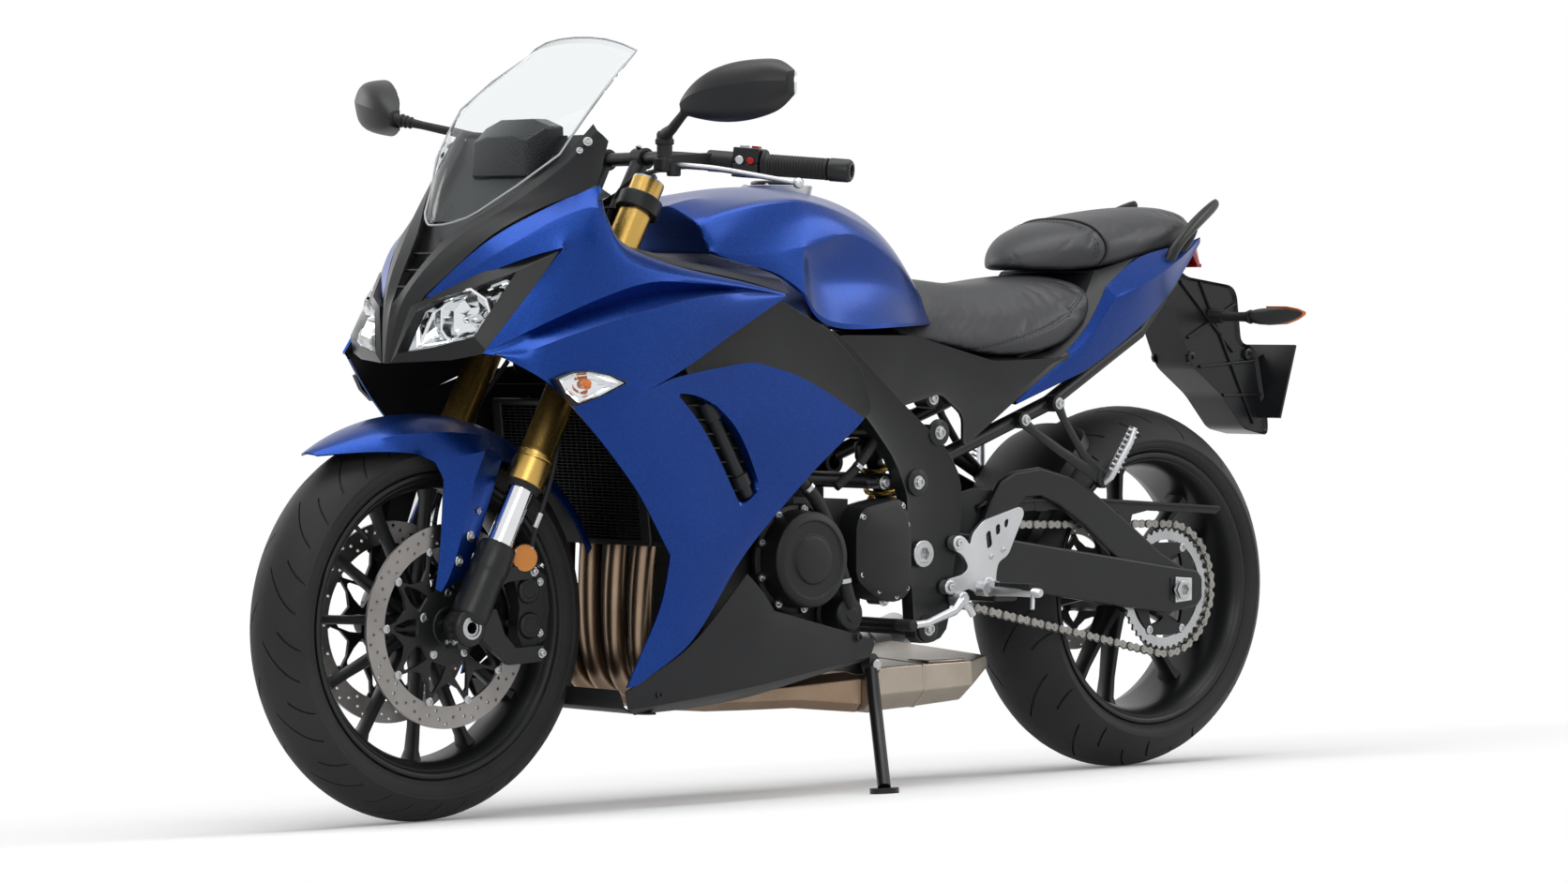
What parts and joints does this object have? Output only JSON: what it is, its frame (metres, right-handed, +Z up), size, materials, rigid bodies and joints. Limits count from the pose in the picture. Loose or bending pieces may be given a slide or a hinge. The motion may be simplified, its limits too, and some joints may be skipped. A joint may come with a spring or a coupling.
{
  "type": "sport motorcycle",
  "caption": "Fully faired sport motorcycle leaning on its side stand, with turning wheels, steering, folding stand and a hinged fuel cap.",
  "frame": {"origin": "on the floor, under the middle of the machine's bounding box as it leans on its side stand", "axes": "+X forward along the wheelbase, +Y to the rider's left, which is the side it leans to, +Z up"},
  "size_m": [2.1859, 1.0376, 1.2041],
  "materials": {
    "amber_lens": "dark stalk with amber lens",
    "black_coat": "satin black powder coat",
    "black_rubber": "matt rubber",
    "blue_paint": "semi-gloss metallic paint on moulded panels and tank",
    "cast_alloy": "satin silver",
    "chrome_tube": "hard chrome",
    "clear_lens": "clear moulded lens",
    "clear_screen": "clear moulded screen",
    "dark_plastic": "satin moulded plastic",
    "disc_steel": "ground stainless steel",
    "engine_black": "black-coated castings",
    "exhaust_steel": "heat-tinted stainless steel",
    "gold_anodised": "anodised gold",
    "plate_blank": "blank dark plate",
    "red_lens": "red lens",
    "seat_cover": "grained vinyl",
    "tyre_rubber": "tyre rubber"
  },
  "bodies": {
    "chassis": {"belly_pan": "dark_plastic", "chain": "disc_steel", "engine": "engine_black", "engine_covers": "engine_black", "exhaust_headers": "exhaust_steel", "foot_levers": "cast_alloy", "frame": "black_coat", "front_indicators": "clear_lens", "fuel_tank": "blue_paint", "grab_rails": "black_coat", "headlights": "clear_lens", "inner_trim": "dark_plastic", "instrument_panel": "dark_plastic", "lower_fairings": "blue_paint", "nose_cowl": "dark_plastic", "nose_stay": "black_coat", "number_plate": "plate_blank", "passenger_footrests": "black_coat", "pillion_seat": "seat_cover", "radiator": "black_coat", "rear_axle": "chrome_tube", "rear_caliper": "black_coat", "rear_hugger": "dark_plastic", "rear_indicators": "amber_lens", "rear_shock": "black_coat", "rider_footrests": "cast_alloy", "rider_seat": "seat_cover", "seat_pan": "dark_plastic", "side_covers": "dark_plastic", "silencer": "exhaust_steel", "stand_bracket": "dark_plastic", "subframe": "black_coat", "swingarm": "black_coat", "tail_fairings": "blue_paint", "tail_light": "red_lens", "tail_tidy": "dark_plastic", "upper_fairings": "blue_paint", "windscreen": "clear_screen"},
    "steering": {"upper_yoke": "black_coat", "lower_yoke": "black_coat", "fork_tubes": "gold_anodised", "fork_sliders": "chrome_tube", "fork_legs": "black_coat", "handlebar": "black_coat", "grips": "black_rubber", "bar_controls": "dark_plastic", "hand_levers": "cast_alloy", "mirrors": "dark_plastic", "front_fender": "blue_paint", "front_calipers": "black_coat", "front_axle": "chrome_tube"},
    "front_wheel": {"front_tyre": "tyre_rubber", "front_rim": "black_coat", "front_discs": "disc_steel"},
    "rear_wheel": {"rear_tyre": "tyre_rubber", "rear_rim": "black_coat", "rear_sprocket": "disc_steel", "rear_disc": "disc_steel"},
    "side_stand": {"side_stand": "black_coat"},
    "fuel_cap": {"fuel_cap": "cast_alloy"}
  },
  "joints": [
    {"name": "steering", "type": "hinge", "parent": "chassis", "child": "steering", "pos_m": [0.75945, -0.06545, 0.28163], "axis": [-0.4695, 0.0693, 0.8802], "range_deg": [-22, 22]},
    {"name": "front_wheel", "type": "hinge", "parent": "steering", "child": "front_wheel", "pos_m": [0.793, -0.06405, 0.29941], "axis": [0, 0.9969, -0.0785], "continuous": true},
    {"name": "rear_wheel", "type": "hinge", "parent": "chassis", "child": "rear_wheel", "pos_m": [-0.737, -0.06319, 0.31038], "axis": [0, 0.9969, -0.0785], "continuous": true},
    {"name": "side_stand", "type": "hinge", "parent": "chassis", "child": "side_stand", "pos_m": [-0.002, 0.08671, 0.20128], "axis": [-0.309, 0.9481, 0.0756], "range_deg": [0, 125.4]},
    {"name": "fuel_cap", "type": "hinge", "parent": "chassis", "child": "fuel_cap", "pos_m": [0.109, -0.01068, 0.97761], "axis": [0, 0.9969, -0.0785], "range_deg": [0, 90]}
  ]
}
